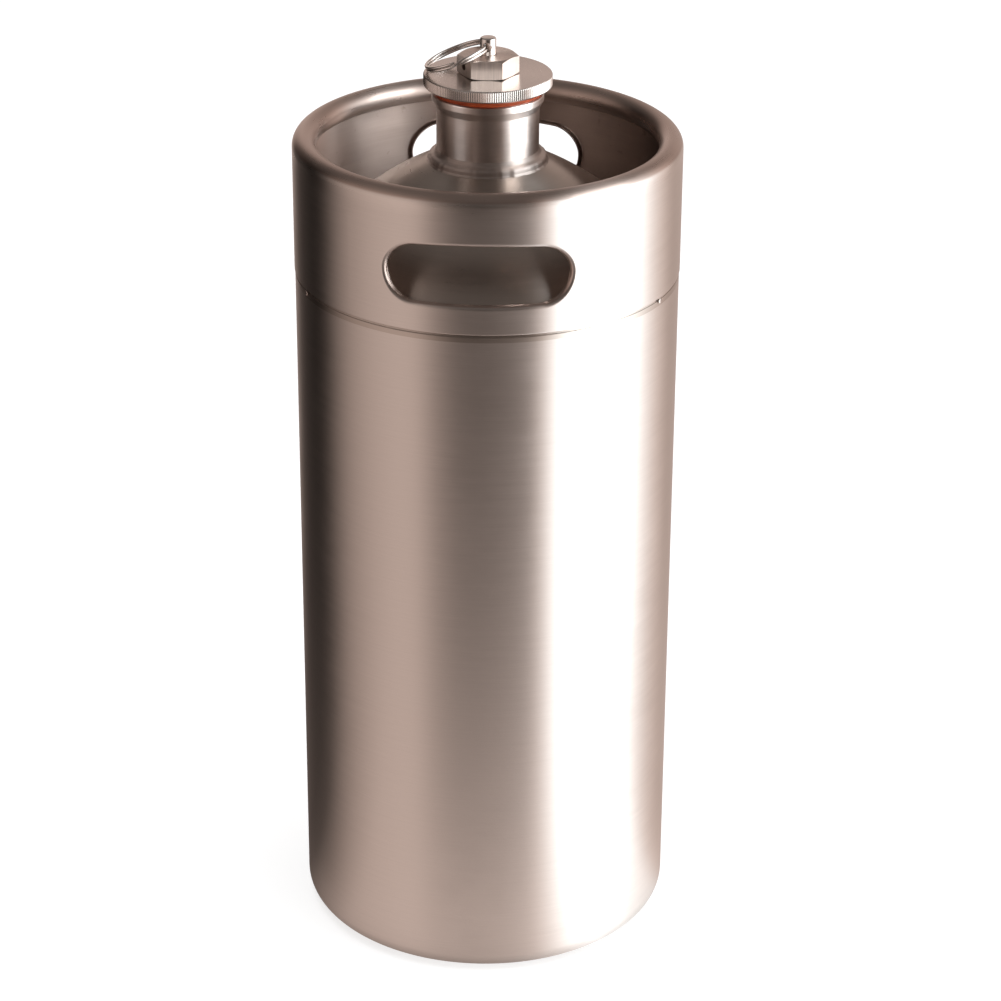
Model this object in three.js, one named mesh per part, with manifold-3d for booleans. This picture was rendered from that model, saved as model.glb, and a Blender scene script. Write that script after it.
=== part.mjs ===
// A small single-wall stainless beer keg: a drawn body with a dished base, a pressed shoulder,
// a rolled carrying collar with two hand holes, a threaded neck, and a knurled screw cap that
// holds a ring-pull pressure relief valve.
//
// Millimetres, +Z up. The origin is the centre of the foot, and the hand holes face -Y and +Y.

import * as THREE from "three";
import { mergeVertices } from "three/addons/utils/BufferGeometryUtils.js";
import Module from "manifold-3d";

const wasm = await Module();
wasm.setup();

// ---- driving dimensions ----------------------------------------------------------------------

const SHEET = 1.0; // thickness of the pressed stainless sheet
const WELD_GAP = 0.1; // room left between faces that are welded or clamped together

// body and base
const BODY_RADIUS = 85;
const FOOT_CORNER = 9; // outside radius of the rounded bottom corner
const FOOT_INNER_RADIUS = 64; // where the turned-in foot ends
const BASE_FLANGE_RADIUS = 72;
const BASE_RISE = 9; // height of the dished panel above the foot
const BASE_SLOPE_WIDTH = 10;

// shoulder
const SHOULDER_START = 313.3; // top of the straight body wall
const KNUCKLE_RADIUS = 8;
const CROWN_RADIUS = 142;
const KNUCKLE_TURN = THREE.MathUtils.degToRad(35);
const SHOULDER_HOLE_RADIUS = 22.6;
const SEAM_GAP = 0.6; // groove between the shoulder's ledge and the collar's edge

// carrying collar
const COLLAR_RADIUS = 85.3;
const COLLAR_BOTTOM = 316.7;
const RIM_TOP = 378;
const BEAD_RADIUS = 5.3; // outside radius of the rolled rim's section
const BEAD_CURL = 300; // degrees that the rim is rolled through
const HAND_HOLE_LENGTH = 78.8;
const HAND_HOLE_HEIGHT = 26.4;
const HAND_HOLE_Z = 342.8;
const HAND_HOLE_FLANGE = 3.2; // how far the hole's edge is turned inwards
const TACK_ANGLES = [64, 116, -116, -64]; // degrees from the front hand hole's centre
const TACK_DROP = 1.2; // from the collar's edge down to a weld's centre

// neck
const NECK_RADIUS = 22.4;
const NECK_BORE = 19.8;
const NECK_BOTTOM = 361;
const NECK_LIP_RADIUS = 24.4;
const NECK_LIP_START = 389.8;
const NECK_LIP_EDGE = 393.1;
const NECK_TOP = 396.1;
const BEAD_FOOT_RADIUS = 25.8;
const BEAD_TOP = 371.2;

// cap and its gasket
const GASKET_RADIUS = 23.6;
const GASKET_BORE = 19.7;
const CAP_RADIUS = 28;
const CAP_BOTTOM = 399.5;
const CAP_TOP = 404.6;
const CAP_CHAMFER = 0.5;
const PLUG_RADIUS = 19.4;
const PLUG_BORE = 16;
const PLUG_BOTTOM = 384;
const CAP_BOSS_RADIUS = 10.5;
const CAP_BOSS_BOTTOM = 395;
const CAP_TAPPED_RADIUS = 7.1;
const CAP_RECESS_RADIUS = 9.2; // round seat for the relief valve's sealing washer
const CAP_RECESS_DEPTH = 0.9;

// relief valve
const WASHER_RADIUS = 9;
const WASHER_THICKNESS = 0.8;
const HEX_ACROSS_FLATS = 23.4;
const HEX_TOP = 413;
const HEX_CHAMFER = THREE.MathUtils.degToRad(22);
const SHANK_RADIUS = 6.9;
const SHANK_BOTTOM = 386;
const CHAMBER_RADIUS = 5.4;
const CHAMBER_TOP = 411.5;
const GUIDE_RADIUS = 3.6;
const VENT_RADIUS = 1.8;
const VENT_Z = 409;
const VENT_ANGLE = THREE.MathUtils.degToRad(210);
const SEAT_TOP = 390.25;
const SEAT_SHOULDER = 389.3;
const SEAT_RADIUS = 5.25;
const INLET_RADIUS = 2.5;
const SEAL_RADIUS = 4.4;
const POPPET_RADIUS = 5.0;
const POPPET_BOTTOM = 391.6;
const POPPET_TOP = 393.6;
const STEM_RADIUS = 3.5;
const STEM_TOP = 420.5;
const SPIGOT_RADIUS = 1.4;
const SPRING_WIRE_RADIUS = 0.5;
const SPRING_RADIUS = 4.6;
const SPRING_TURNS = 7;

// pull ring: two turns of wire lying on each other, hung in the stem's cross hole
const RING_RADIUS = 14.3; // to the middle of the wire
const RING_WIRE = 1.3;
const RING_TURNS = 2;
const RING_PIVOT_Z = 416.7;
const RING_SLOPE = THREE.MathUtils.degToRad(21.3);
const RING_AZIMUTH = THREE.MathUtils.degToRad(174.4);
const RING_HOLE_RADIUS = 2.1;

// facets round a full turn
const WIDE_FACETS = 48;
const NARROW_FACETS = 40;
const SMALL_FACETS = 24;

// ---- materials -------------------------------------------------------------------------------

function steel(color, roughness) {
  return new THREE.MeshStandardMaterial({ color, roughness, metalness: 1 });
}

function elastomer(color, roughness) {
  return new THREE.MeshStandardMaterial({ color, roughness, metalness: 0 });
}

const BRUSHED_STEEL = steel(0x9c918a, 0.38);
const TURNED_STEEL = steel(0xaaa39c, 0.3);
const WELD_STEEL = steel(0x837a74, 0.45);
const SPRING_STEEL = steel(0xb5b0aa, 0.25);
const SILICONE = elastomer(0xb8452a, 0.5);
const BLACK_RUBBER = elastomer(0x1d1b1a, 0.6);

// ---- shapes ----------------------------------------------------------------------------------

const point = (radius, height) => new THREE.Vector2(radius, height);

// Points on an arc in the profile plane, anticlockwise when the end angle is the larger.
function arc(centreRadius, centreHeight, radius, startDegrees, endDegrees, steps) {
  return Array.from({ length: steps + 1 }, (_, i) => {
    const angle = THREE.MathUtils.degToRad(
      THREE.MathUtils.lerp(startDegrees, endDegrees, i / steps),
    );
    return point(
      centreRadius + radius * Math.cos(angle),
      centreHeight + radius * Math.sin(angle),
    );
  });
}

// A profile turned about +Z. A profile that is clear of the axis is closed on its first point.
function turned(profile, facets) {
  const onAxis = profile[0].x === 0;
  const outline = onAxis ? profile : [...profile, profile[0].clone()];
  return new THREE.LatheGeometry(outline, facets).rotateX(Math.PI / 2);
}

// A plain ring or tube between two radii and two heights.
function tube(innerRadius, outerRadius, bottom, top, facets) {
  const profile = [
    point(innerRadius, bottom),
    point(outerRadius, bottom),
    point(outerRadius, top),
    point(innerRadius, top),
  ];
  return turned(profile, facets);
}

// A round bar on the axis between two heights.
function bar(radius, bottom, top, facets) {
  return turned(
    [point(0, bottom), point(radius, bottom), point(radius, top), point(0, top)],
    facets,
  );
}

function solid(geometry) {
  const bare = geometry.clone();
  bare.deleteAttribute("normal");
  bare.deleteAttribute("uv");
  const merged = mergeVertices(bare, 1e-4);
  return new wasm.Manifold(
    new wasm.Mesh({
      numProp: 3,
      vertProperties: merged.attributes.position.array,
      triVerts: new Uint32Array(merged.index.array),
    }),
  );
}

function geometryOf(body) {
  const { vertProperties, triVerts } = body.getMesh();
  const geometry = new THREE.BufferGeometry();
  geometry.setAttribute("position", new THREE.BufferAttribute(vertProperties, 3));
  geometry.setIndex(new THREE.BufferAttribute(triVerts, 1));
  geometry.computeVertexNormals();
  return geometry;
}

function named(name, geometry, material) {
  const mesh = new THREE.Mesh(geometry, material);
  mesh.name = name;
  return mesh;
}

// ---- vessel ----------------------------------------------------------------------------------

// The drawn body: a straight wall, a rounded bottom corner and a turned-in foot to stand on.
function bodyShell() {
  const cornerCentre = BODY_RADIUS - FOOT_CORNER;
  const outside = arc(cornerCentre, FOOT_CORNER, FOOT_CORNER, -90, 0, 5);
  const inside = arc(cornerCentre, FOOT_CORNER, FOOT_CORNER - SHEET, 0, -90, 5);
  const profile = [
    point(FOOT_INNER_RADIUS, 0),
    ...outside,
    point(BODY_RADIUS, SHOULDER_START),
    point(BODY_RADIUS - SHEET, SHOULDER_START),
    ...inside,
    point(FOOT_INNER_RADIUS, SHEET),
  ];
  return named("body_shell", turned(profile, WIDE_FACETS), BRUSHED_STEEL);
}

// The dished end: its flange is welded on the foot, and its panel stands clear of the floor.
function baseEnd() {
  const flange = SHEET + WELD_GAP;
  const slopeFoot = FOOT_INNER_RADIUS - 1;
  const panelEdge = slopeFoot - BASE_SLOPE_WIDTH;
  const profile = [
    point(0, BASE_RISE),
    point(panelEdge, BASE_RISE),
    point(slopeFoot, flange),
    point(BASE_FLANGE_RADIUS, flange),
    point(BASE_FLANGE_RADIUS, flange + SHEET),
    point(slopeFoot + SHEET / 2, flange + SHEET),
    point(panelEdge + SHEET / 2, BASE_RISE + SHEET),
    point(0, BASE_RISE + SHEET),
  ];
  return named("base_end", turned(profile, WIDE_FACETS), BRUSHED_STEEL);
}

// Height of the shoulder's outer surface over the crown, and of the surface a sheet below it.
const KNUCKLE_CENTRE = BODY_RADIUS - KNUCKLE_RADIUS;
const CROWN_CENTRE_RADIUS =
  KNUCKLE_CENTRE + (KNUCKLE_RADIUS - CROWN_RADIUS) * Math.cos(KNUCKLE_TURN);
const CROWN_CENTRE_Z =
  SHOULDER_START + (KNUCKLE_RADIUS - CROWN_RADIUS) * Math.sin(KNUCKLE_TURN);

function crownAngle(radius, crown) {
  return THREE.MathUtils.radToDeg(Math.acos((radius - CROWN_CENTRE_RADIUS) / crown));
}

function crownZ(radius) {
  const angle = THREE.MathUtils.degToRad(crownAngle(radius, CROWN_RADIUS));
  return CROWN_CENTRE_Z + CROWN_RADIUS * Math.sin(angle);
}

// The pressed shoulder: it carries the wall on up to a ledge under the collar's edge, and then a
// knuckle and a shallow crown lead to the neck.
function shoulderDome() {
  const turn = THREE.MathUtils.radToDeg(KNUCKLE_TURN);
  const knuckle = (radius, from, to) =>
    arc(KNUCKLE_CENTRE, SHOULDER_START, radius, from, to, 3);
  const crown = (radius, from, to) =>
    arc(CROWN_CENTRE_RADIUS, CROWN_CENTRE_Z, radius, from, to, 5);
  const inner = CROWN_RADIUS - SHEET;
  const ledge = COLLAR_BOTTOM - SEAM_GAP;
  const tucked = Math.asin((ledge - SHOULDER_START) / KNUCKLE_RADIUS);
  const profile = [
    point(BODY_RADIUS, SHOULDER_START),
    point(BODY_RADIUS, ledge),
    ...knuckle(KNUCKLE_RADIUS, THREE.MathUtils.radToDeg(tucked), turn),
    ...crown(CROWN_RADIUS, turn, crownAngle(SHOULDER_HOLE_RADIUS, CROWN_RADIUS)).slice(1),
    ...crown(inner, crownAngle(SHOULDER_HOLE_RADIUS, inner), turn),
    ...knuckle(KNUCKLE_RADIUS - SHEET, turn, 0).slice(1),
  ];
  return named("shoulder_dome", turned(profile, WIDE_FACETS), BRUSHED_STEEL);
}

// A flat-sided, round-ended bar along Y, as long as the keg is wide.
function slotBar(length, height) {
  const end = height / 2;
  const half = length / 2 - end;
  const outline = new THREE.Shape();
  outline.absarc(half, HAND_HOLE_Z, end, -Math.PI / 2, Math.PI / 2);
  outline.absarc(-half, HAND_HOLE_Z, end, Math.PI / 2, (3 * Math.PI) / 2);
  const depth = 2 * (BODY_RADIUS + HAND_HOLE_FLANGE);
  const options = { depth, bevelEnabled: false, curveSegments: 8 };
  return solid(
    new THREE.ExtrudeGeometry(outline, options)
      .rotateX(Math.PI / 2)
      .translate(0, depth / 2, 0),
  );
}

// The carrying collar: its wall is rolled inwards round the rim, and the edges of its two
// opposite hand holes are turned inwards.
function carryCollar() {
  const beadCentre = COLLAR_RADIUS - BEAD_RADIUS;
  const beadZ = RIM_TOP - BEAD_RADIUS;
  const profile = [
    point(COLLAR_RADIUS, COLLAR_BOTTOM),
    ...arc(beadCentre, beadZ, BEAD_RADIUS, 0, BEAD_CURL, 10),
    ...arc(beadCentre, beadZ, BEAD_RADIUS - SHEET, BEAD_CURL, 0, 10),
    point(COLLAR_RADIUS - SHEET, COLLAR_BOTTOM),
  ];
  const wall = solid(turned(profile, WIDE_FACETS));
  const band = solid(
    tube(
      COLLAR_RADIUS - HAND_HOLE_FLANGE,
      COLLAR_RADIUS - SHEET / 2,
      COLLAR_BOTTOM,
      beadZ,
      WIDE_FACETS,
    ),
  );
  const opening = slotBar(HAND_HOLE_LENGTH, HAND_HOLE_HEIGHT);
  const flange = slotBar(HAND_HOLE_LENGTH + 2 * SHEET, HAND_HOLE_HEIGHT + 2 * SHEET);
  const collar = wall.add(flange.intersect(band)).subtract(opening);
  return named("carry_collar", geometryOf(collar), BRUSHED_STEEL);
}

// The four tack welds that hold the collar on the shoulder, across the seam below its edge.
function tackWelds() {
  return TACK_ANGLES.map((degrees, i) => {
    const angle = THREE.MathUtils.degToRad(degrees);
    const nugget = new THREE.SphereGeometry(1, 12, 8).scale(1.6, 0.3, 1);
    const weld = named("collar_tack_weld_" + (i + 1), nugget, WELD_STEEL);
    const radius = BODY_RADIUS + 0.35;
    const height = COLLAR_BOTTOM - TACK_DROP;
    weld.position.set(radius * Math.sin(angle), -radius * Math.cos(angle), height);
    weld.rotation.z = angle;
    return weld;
  });
}

// The turned neck: an internal thread's bore, and a lip for the gasket.
function threadedNeck() {
  const filletZ = NECK_LIP_START;
  const profile = [
    point(NECK_BORE, NECK_BOTTOM),
    point(NECK_RADIUS, NECK_BOTTOM),
    point(NECK_RADIUS, filletZ),
    point(NECK_RADIUS + 0.7, filletZ + 1.9),
    point(NECK_LIP_RADIUS, NECK_LIP_EDGE),
    point(NECK_LIP_RADIUS, NECK_TOP - 0.4),
    point(NECK_LIP_RADIUS - 0.4, NECK_TOP),
    point(NECK_BORE, NECK_TOP),
  ];
  return named("threaded_neck", turned(profile, NARROW_FACETS), TURNED_STEEL);
}

// The weld that joins the neck to the shoulder: a bead, and a fillet up the neck.
function neckWeldBead() {
  const inner = NECK_RADIUS + WELD_GAP;
  const nose = crownZ(BEAD_FOOT_RADIUS) + WELD_GAP;
  const profile = [
    point(inner, crownZ(inner) + WELD_GAP),
    point(BEAD_FOOT_RADIUS, nose),
    point(BEAD_FOOT_RADIUS + 0.5, nose + 1.2),
    point(BEAD_FOOT_RADIUS - 0.4, nose + 2.2),
    point(NECK_RADIUS + 1.2, nose + 2.9),
    point(NECK_RADIUS + 0.4, nose + 3.8),
    point(inner, BEAD_TOP),
  ];
  return named("neck_weld_bead", turned(profile, NARROW_FACETS), WELD_STEEL);
}

// ---- screw cap -------------------------------------------------------------------------------

function capGasket() {
  const ring = tube(
    GASKET_BORE,
    GASKET_RADIUS,
    NECK_TOP + WELD_GAP,
    CAP_BOTTOM - WELD_GAP,
    NARROW_FACETS,
  );
  return named("cap_gasket", ring, SILICONE);
}

// The cap: a thick disc to grip, a hollow plug that screws into the neck, and a tapped boss
// for the relief valve.
function screwCap() {
  const profile = [
    point(PLUG_BORE, PLUG_BOTTOM),
    point(PLUG_RADIUS - 0.5, PLUG_BOTTOM),
    point(PLUG_RADIUS, PLUG_BOTTOM + 0.5),
    point(PLUG_RADIUS, CAP_BOTTOM),
    point(CAP_RADIUS - CAP_CHAMFER, CAP_BOTTOM),
    point(CAP_RADIUS, CAP_BOTTOM + CAP_CHAMFER),
    point(CAP_RADIUS, CAP_TOP - CAP_CHAMFER),
    point(CAP_RADIUS - CAP_CHAMFER, CAP_TOP),
    point(CAP_RECESS_RADIUS, CAP_TOP),
    point(CAP_RECESS_RADIUS, CAP_TOP - CAP_RECESS_DEPTH),
    point(CAP_TAPPED_RADIUS, CAP_TOP - CAP_RECESS_DEPTH),
    point(CAP_TAPPED_RADIUS, CAP_BOSS_BOTTOM),
    point(CAP_BOSS_RADIUS, CAP_BOSS_BOTTOM),
    point(CAP_BOSS_RADIUS, CAP_BOTTOM),
    point(PLUG_BORE, CAP_BOTTOM),
  ];
  return named("screw_cap", turned(profile, NARROW_FACETS), TURNED_STEEL);
}

// ---- relief valve ----------------------------------------------------------------------------

// The flat washer lies in the cap's recess, and the hexagon clamps it.
const WASHER_BOTTOM = CAP_TOP - CAP_RECESS_DEPTH + WELD_GAP;
const WASHER_TOP = WASHER_BOTTOM + WASHER_THICKNESS;

function sealingWasher() {
  const ring = tube(
    SHANK_RADIUS + 0.3,
    WASHER_RADIUS,
    WASHER_BOTTOM,
    WASHER_TOP,
    SMALL_FACETS,
  );
  return named("relief_sealing_washer", ring, BLACK_RUBBER);
}

// The valve body: a hexagon with a chamfered top and two side vents, on a threaded shank that
// holds the spring.
function reliefBody() {
  const hexBottom = WASHER_TOP + WELD_GAP;
  const hexHeight = HEX_TOP - hexBottom;
  const cornerRadius = HEX_ACROSS_FLATS / Math.sqrt(3);
  const hexagon = solid(
    new THREE.CylinderGeometry(cornerRadius, cornerRadius, hexHeight, 6)
      .rotateX(Math.PI / 2)
      .rotateZ(Math.PI / 2)
      .translate(0, 0, hexBottom + hexHeight / 2),
  );
  const chamferRadius = HEX_ACROSS_FLATS / 2 - 0.1;
  const beyond = cornerRadius + 1;
  const chamfers = solid(
    turned(
      [
        point(0, hexBottom),
        point(beyond, hexBottom),
        point(beyond, HEX_TOP - (beyond - chamferRadius) * Math.tan(HEX_CHAMFER)),
        point(chamferRadius, HEX_TOP),
        point(0, HEX_TOP),
      ],
      WIDE_FACETS,
    ),
  );
  const shank = solid(bar(SHANK_RADIUS, SHANK_BOTTOM, HEX_TOP - 1, SMALL_FACETS));
  const chamber = solid(bar(CHAMBER_RADIUS, SHANK_BOTTOM - 1, CHAMBER_TOP, SMALL_FACETS));
  const guide = solid(bar(GUIDE_RADIUS, CHAMBER_TOP - 1, HEX_TOP + 1, SMALL_FACETS));
  const vents = solid(
    new THREE.CylinderGeometry(VENT_RADIUS, VENT_RADIUS, 2 * CAP_RADIUS, 12)
      .rotateZ(Math.PI / 2)
      .rotateZ(VENT_ANGLE)
      .translate(0, 0, VENT_Z),
  );
  const body = hexagon
    .intersect(chamfers)
    .add(shank)
    .subtract(chamber)
    .subtract(guide)
    .subtract(vents);
  return named("relief_body", geometryOf(body), TURNED_STEEL);
}

// The screwed-in seat: gas comes up through its inlet hole, which has a raised lip.
function reliefSeat() {
  const profile = [
    point(INLET_RADIUS, SHANK_BOTTOM),
    point(SEAT_RADIUS, SHANK_BOTTOM),
    point(SEAT_RADIUS, SEAT_SHOULDER),
    point(INLET_RADIUS + 0.9, SEAT_SHOULDER),
    point(INLET_RADIUS + 0.5, SEAT_TOP),
    point(INLET_RADIUS, SEAT_TOP),
  ];
  return named("relief_seat", turned(profile, SMALL_FACETS), TURNED_STEEL);
}

function reliefSeal() {
  const disc = bar(SEAL_RADIUS, SEAT_TOP + WELD_GAP, POPPET_BOTTOM - WELD_GAP, SMALL_FACETS);
  return named("relief_seal", disc, BLACK_RUBBER);
}

// The disc that the spring pushes down, tapped for the end of the stem.
function reliefPoppet() {
  const tapped = SPIGOT_RADIUS + 0.1;
  const profile = [
    point(0, POPPET_BOTTOM),
    point(POPPET_RADIUS, POPPET_BOTTOM),
    point(POPPET_RADIUS, POPPET_TOP),
    point(tapped, POPPET_TOP),
    point(tapped, POPPET_BOTTOM + 0.6),
    point(0, POPPET_BOTTOM + 0.6),
  ];
  return named("relief_poppet", turned(profile, SMALL_FACETS), TURNED_STEEL);
}

// The stem: it slides in the body's guide hole, and a cross hole near its top takes the ring.
function reliefStem() {
  const profile = [
    point(0, POPPET_BOTTOM + 0.7),
    point(SPIGOT_RADIUS, POPPET_BOTTOM + 0.7),
    point(SPIGOT_RADIUS, POPPET_TOP + WELD_GAP),
    point(STEM_RADIUS, POPPET_TOP + WELD_GAP),
    point(STEM_RADIUS, STEM_TOP - 0.8),
    point(STEM_RADIUS - 0.8, STEM_TOP),
    point(0, STEM_TOP),
  ];
  const rod = solid(turned(profile, SMALL_FACETS));
  const crossHole = solid(
    new THREE.CylinderGeometry(RING_HOLE_RADIUS, RING_HOLE_RADIUS, 4 * STEM_RADIUS, 16)
      .rotateZ(RING_AZIMUTH)
      .translate(0, 0, RING_PIVOT_Z),
  );
  return named("relief_stem", geometryOf(rod.subtract(crossHole)), TURNED_STEEL);
}

class Helix extends THREE.Curve {
  constructor(radius, bottom, top, turns) {
    super();
    Object.assign(this, { radius, bottom, top, turns });
  }

  getPoint(t, target = new THREE.Vector3()) {
    const angle = 2 * Math.PI * this.turns * t;
    return target.set(
      this.radius * Math.cos(angle),
      this.radius * Math.sin(angle),
      THREE.MathUtils.lerp(this.bottom, this.top, t),
    );
  }
}

// The compression spring between the poppet and the top of the chamber.
function reliefSpring() {
  const margin = SPRING_WIRE_RADIUS + WELD_GAP;
  const path = new Helix(
    SPRING_RADIUS,
    POPPET_TOP + margin,
    CHAMBER_TOP - margin,
    SPRING_TURNS,
  );
  const wire = new THREE.Shape();
  wire.absarc(0, 0, SPRING_WIRE_RADIUS, 0, 2 * Math.PI);
  const options = {
    steps: 12 * SPRING_TURNS,
    curveSegments: 4,
    bevelEnabled: false,
    extrudePath: path,
  };
  return named("relief_spring", new THREE.ExtrudeGeometry(wire, options), SPRING_STEEL);
}

// The ring hangs in the stem's cross hole and leans down until it lies on the cap.
function pullRing() {
  const halfWidth = RING_WIRE / 2;
  const halfHeight = (RING_WIRE * RING_TURNS) / 2;
  const straight = halfHeight - halfWidth;
  const profile = [
    ...arc(RING_RADIUS, -straight, halfWidth, -180, 0, 3),
    ...arc(RING_RADIUS, straight, halfWidth, 0, 180, 3),
  ];
  const ring = named("pull_ring", turned(profile, NARROW_FACETS), SPRING_STEEL);
  ring.position.set(RING_RADIUS, 0, 0);
  const hanger = new THREE.Group();
  hanger.position.set(0, 0, RING_PIVOT_Z);
  hanger.rotation.set(0, RING_SLOPE, RING_AZIMUTH, "ZYX");
  hanger.add(ring);
  return hanger;
}

// ---- the keg ---------------------------------------------------------------------------------

const vessel = new THREE.Group();
vessel.add(bodyShell(), baseEnd(), shoulderDome(), carryCollar(), ...tackWelds());
vessel.add(threadedNeck(), neckWeldBead());

const closure = new THREE.Group();
closure.add(capGasket(), screwCap());

const reliefValve = new THREE.Group();
reliefValve.add(sealingWasher(), reliefBody(), reliefSeat(), reliefSeal(), reliefPoppet());
reliefValve.add(reliefStem(), reliefSpring(), pullRing());

const keg = new THREE.Group();
keg.add(vessel, closure, reliefValve);

export default keg;
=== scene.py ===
"""A small stainless beer keg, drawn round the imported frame.

Every length is in metres and every place is in the row frame. What the frame holds is read from
it, and the finer dimensions, such as fillets, threads and the knurl, are named below.
"""

import math

import bmesh
import bpy
from mathutils import Matrix, Vector, noise


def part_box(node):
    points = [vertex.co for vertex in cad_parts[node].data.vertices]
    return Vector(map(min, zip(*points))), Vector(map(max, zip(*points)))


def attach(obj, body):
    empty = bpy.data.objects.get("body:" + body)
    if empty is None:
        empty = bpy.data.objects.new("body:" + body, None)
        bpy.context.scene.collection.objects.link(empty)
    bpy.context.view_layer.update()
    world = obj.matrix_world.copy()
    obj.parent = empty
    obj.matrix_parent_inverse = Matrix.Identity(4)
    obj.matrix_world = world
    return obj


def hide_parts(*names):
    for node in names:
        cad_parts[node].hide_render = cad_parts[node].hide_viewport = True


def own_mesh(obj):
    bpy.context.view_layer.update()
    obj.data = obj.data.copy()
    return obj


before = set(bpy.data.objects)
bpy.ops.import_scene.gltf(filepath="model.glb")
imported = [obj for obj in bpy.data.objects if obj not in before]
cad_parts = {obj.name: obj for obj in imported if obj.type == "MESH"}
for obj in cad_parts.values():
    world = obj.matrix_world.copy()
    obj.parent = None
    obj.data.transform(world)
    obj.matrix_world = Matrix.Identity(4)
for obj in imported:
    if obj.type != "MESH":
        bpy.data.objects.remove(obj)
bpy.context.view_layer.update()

# ---- dimensions ------------------------------------------------------------------------------

SHEET = 0.0010
SMALL_FILLET = 0.00025
EDGE_FILLET = 0.0001
CREASE = math.radians(32)  # faces that meet at more than this keep a crisp edge

BODY_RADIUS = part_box("body_shell")[1].x
BODY_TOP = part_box("body_shell")[1].z
FOOT_CORNER = 0.009
FOOT_INNER_RADIUS = 0.064
BASE_FLANGE_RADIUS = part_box("base_end")[1].x
BASE_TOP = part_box("base_end")[1].z

KNUCKLE_RADIUS = 0.008
CROWN_RADIUS = 0.142
KNUCKLE_TURN = math.radians(35)
SEAM_GAP = 0.0009
SEAM_FILLET = 0.0005
SHOULDER_HOLE_RADIUS = 0.0226

COLLAR_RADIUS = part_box("carry_collar")[1].x
COLLAR_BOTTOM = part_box("carry_collar")[0].z
RIM_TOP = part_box("carry_collar")[1].z
BEAD_RADIUS = 0.0053
BEAD_CURL = 300  # degrees that the rim is rolled through
HAND_HOLE_HALF_LENGTH = 0.04275
HAND_HOLE_HALF_HEIGHT = 0.0150
HAND_HOLE_Z = 0.3428
HAND_HOLE_BEND = 0.0018
HAND_HOLE_FLANGE = 0.0032
HAND_HOLE_DROOP = 0.0024  # how far the arched top edge would be lower at the hole's ends

NECK_LIP_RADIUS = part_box("threaded_neck")[1].x
NECK_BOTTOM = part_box("threaded_neck")[0].z
NECK_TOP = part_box("threaded_neck")[1].z
NECK_RADIUS = 0.0224
NECK_LIP_START = 0.3898
NECK_LIP_EDGE = 0.3931
BEAD_FOOT_RADIUS = 0.0258
NECK_CREST = 0.01965
NECK_ROOT = 0.0207
THREAD_PITCH = 0.003
THREAD_RUNOUT = 0.0015  # height over which a thread fades in and out

CAP_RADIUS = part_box("screw_cap")[1].x
CAP_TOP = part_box("screw_cap")[1].z
PLUG_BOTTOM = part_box("screw_cap")[0].z
CAP_BOTTOM = 0.3995
CAP_CHAMFER = 0.0005
BOSS_BOTTOM = 0.3950
BOSS_RADIUS = 0.0105
TAPPED_RADIUS = 0.0071
KNURL_TEETH = 180
KNURL_DEPTH = 0.00018
PLUG_CREST = 0.0204
PLUG_ROOT = 0.0193
PLUG_BORE = 0.016
GASKET_BORE = 0.0205
GASKET_BULGE = 0.0002  # how far the squeezed ring's middle stands out past its faces

HEX_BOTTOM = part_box("relief_sealing_washer")[1].z + 0.0001
RECESS_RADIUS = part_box("relief_sealing_washer")[1].x + 0.0002
RECESS_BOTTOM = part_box("relief_sealing_washer")[0].z - 0.0001
HEX_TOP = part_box("relief_body")[1].z
HEX_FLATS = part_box("relief_body")[1].y
HEX_CHAMFER = math.radians(22)
HEX_UNDERCUT = math.radians(14)
SHANK_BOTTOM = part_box("relief_body")[0].z
SHANK_RADIUS = 0.0069
CHAMBER_RADIUS = 0.0054
CHAMBER_TOP = 0.4115
GUIDE_RADIUS = 0.0036
VENT_RADIUS = 0.0018
VENT_HEIGHT = 0.409
VENT_AZIMUTH = math.radians(210)
INLET_RADIUS = 0.0025
SPIGOT_RADIUS = 0.0014
STEM_SHOULDER = 0.3937
SPRING_WIRE_RADIUS = 0.0005
SPRING_TURNS = 7
CUT_MARGIN = 0.001  # how far a cutter reaches past what it cuts

RING_PIVOT = Vector((0, 0, 0.4167))
RING_RADIUS = 0.0143
RING_WIRE = 0.0013
RING_HOLE_RADIUS = 0.0021
RING_SLOPE = math.radians(21.3)
RING_AZIMUTH = math.radians(174.4)

# ---- meshes ----------------------------------------------------------------------------------


def linked(name, data):
    made = bpy.data.objects.new(name, data)
    bpy.context.scene.collection.objects.link(made)
    return made


def add_object(name, mesh, material, body, nodes):
    """Links a finished mesh as one piece, riding on its body in place of its CAD nodes."""
    piece = linked(name, mesh)
    mesh.materials.append(material)
    mesh.shade_smooth()
    mesh.set_sharp_from_angle(angle=CREASE)
    weighted = piece.modifiers.new("face_weighted_normals", "WEIGHTED_NORMAL")
    weighted.weight = 90
    weighted.keep_sharp = True
    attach(piece, body)
    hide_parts(*nodes)
    return piece


def mesh_of(builder, name):
    """Turns a bmesh into a mesh with merged points and faces that point outwards."""
    bmesh.ops.remove_doubles(builder, verts=builder.verts, dist=1e-6)
    bmesh.ops.dissolve_degenerate(builder, edges=builder.edges, dist=1e-7)
    bmesh.ops.recalc_face_normals(builder, faces=builder.faces)
    mesh = bpy.data.meshes.new(name)
    builder.to_mesh(mesh)
    builder.free()
    return mesh


def add_grid(builder, rows, close_rows=False, close_columns=True, keep=None):
    """Adds quads between neighbouring rows of points. keep(row, column) says which are made."""
    made = [[builder.verts.new(p) for p in row] for row in rows]
    row_count = len(made)
    column_count = len(made[0])
    last_row = row_count if close_rows else row_count - 1
    last_column = column_count if close_columns else column_count - 1
    for i in range(last_row):
        near = made[i]
        far = made[(i + 1) % row_count]
        for j in range(last_column):
            if keep and not keep(i, j):
                continue
            k = (j + 1) % column_count
            builder.faces.new((near[j], near[k], far[k], far[j]))


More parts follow.
